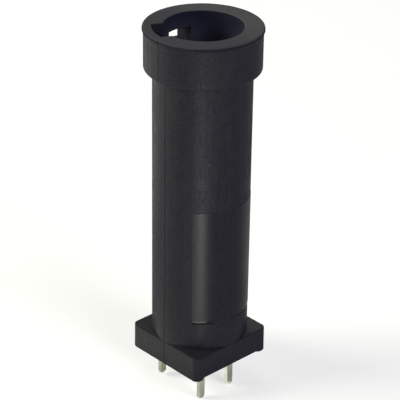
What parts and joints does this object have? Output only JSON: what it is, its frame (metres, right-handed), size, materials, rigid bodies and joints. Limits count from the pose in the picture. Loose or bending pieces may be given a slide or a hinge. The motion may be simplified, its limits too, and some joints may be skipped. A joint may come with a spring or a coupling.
{
  "type": "pcb fuse holder",
  "caption": "Upright moulded tube on a square base with flat board pins, a bayonet rim that takes a fuse carrier, and a sprung end contact inside.",
  "frame": {"origin": "on the tube's axis, at the plane of the two rails that sit on the board", "axes": "+Z out of the mouth, +X towards the side terminal and the label panel, -Y towards the face with two pins in line, the locking window at -X"},
  "size_m": [0.0154, 0.0154, 0.0499],
  "materials": {
    "body": "matte moulded black with fine grain",
    "terminal": "dull tin plate on brass",
    "contact": "satin tin plate on drawn brass",
    "spring": "bright drawn spring wire"
  },
  "bodies": {
    "holder": {"body": "body", "side_terminal": "terminal", "end_terminal": "terminal", "contact_spring": "spring"},
    "contact": {"contact_cup": "contact"}
  },
  "joints": [
    {"name": "contact_slide", "type": "slide", "parent": "holder", "child": "contact", "axis": [0, 0, 1], "range_m": [-0.003, 0], "stiffness_N_per_m": 800, "springref_m": 0.004, "deforming": ["contact_spring"]}
  ]
}
